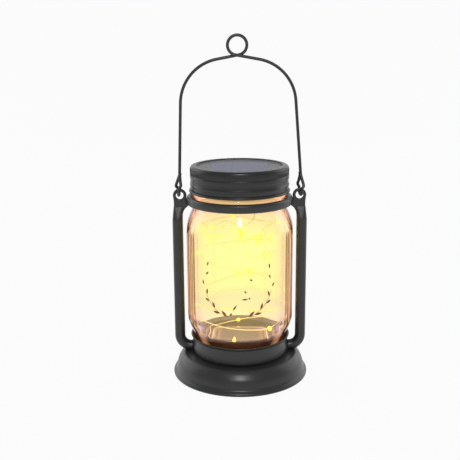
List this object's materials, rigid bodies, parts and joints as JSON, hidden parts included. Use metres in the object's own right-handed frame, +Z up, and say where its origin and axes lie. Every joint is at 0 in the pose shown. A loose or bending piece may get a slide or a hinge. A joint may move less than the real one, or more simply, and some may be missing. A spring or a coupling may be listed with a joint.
{
  "type": "mason jar lantern",
  "caption": "Amber glass mason jar on a stamped steel foot between tube uprights with a neck ring and wire bail; a screw band holds a solar lamp unit with a string of lights in the jar.",
  "frame": {"origin": "middle of the foot's underside, on the surface it stands on", "axes": "+Z up along the jar's axis; +X towards the right upright; -Y is the front"},
  "size_m": [0.1012, 0.1012, 0.25],
  "materials": {
    "frame_steel": "satin charcoal-black",
    "lid_steel": "satin charcoal-black, a little lighter",
    "amber_glass": "clear amber-tinted pressed glass",
    "clear_window": "clear, glossy",
    "solar_cell": "dark blue-violet, glossy",
    "black_plastic": "matte black",
    "seal_white": "matte off-white",
    "plain_steel": "plain steel",
    "board_green": "satin green",
    "chip_black": "matte black",
    "lead_red": "satin red",
    "knob_white": "satin white",
    "battery_wrap": "glossy green",
    "grommet_black": "matte black",
    "copper": "bare copper colour, glossy",
    "led_resin": "warm clear resin, glowing warm yellow"
  },
  "bodies": {
    "lantern_frame": {"base_foot": "frame_steel", "jar_cup": "frame_steel", "cup_rivet": "frame_steel", "left_upright": "frame_steel", "right_upright": "frame_steel", "neck_ring": "frame_steel", "glass_jar": "amber_glass"},
    "bail_handle": {"bail": "frame_steel"},
    "solar_lid": {"lid_seal": "seal_white", "solar_housing": "black_plastic", "solar_window": "clear_window", "solar_cell": "solar_cell", "bottom_cover": "black_plastic", "cover_screws": "plain_steel", "circuit_board": "board_green", "board_parts": "chip_black", "panel_leads": "lead_red", "switch_body": "plain_steel", "battery": "battery_wrap", "battery_contacts": "plain_steel", "battery_spring": "plain_steel", "wire_grommet": "grommet_black", "string_wire": "copper", "string_lights": "led_resin"},
    "lid_band": {"screw_band": "lid_steel"},
    "switch": {"switch_knob": "knob_white"}
  },
  "joints": [
    {"name": "bail_swing", "type": "hinge", "parent": "lantern_frame", "child": "bail_handle", "pos_m": [0, 0, 0.13955], "axis": [1, 0, 0], "range_deg": [-90, 90]},
    {"name": "lid_rise", "type": "slide", "parent": "lantern_frame", "child": "solar_lid", "axis": [0, 0, 1], "range_m": [0, 0.0102]},
    {"name": "lid_turn", "type": "hinge", "parent": "solar_lid", "child": "lid_band", "pos_m": [0, 0, 0.15], "axis": [0, 0, 1], "range_deg": [0, 720]},
    {"name": "switch_slide", "type": "slide", "parent": "solar_lid", "child": "switch", "axis": [-1, 0, 0], "range_m": [0, 0.003]}
  ],
  "couplings": [
    {"joint": "lid_rise", "follows": "lid_turn", "m_per_rad": 0.00080851}
  ]
}
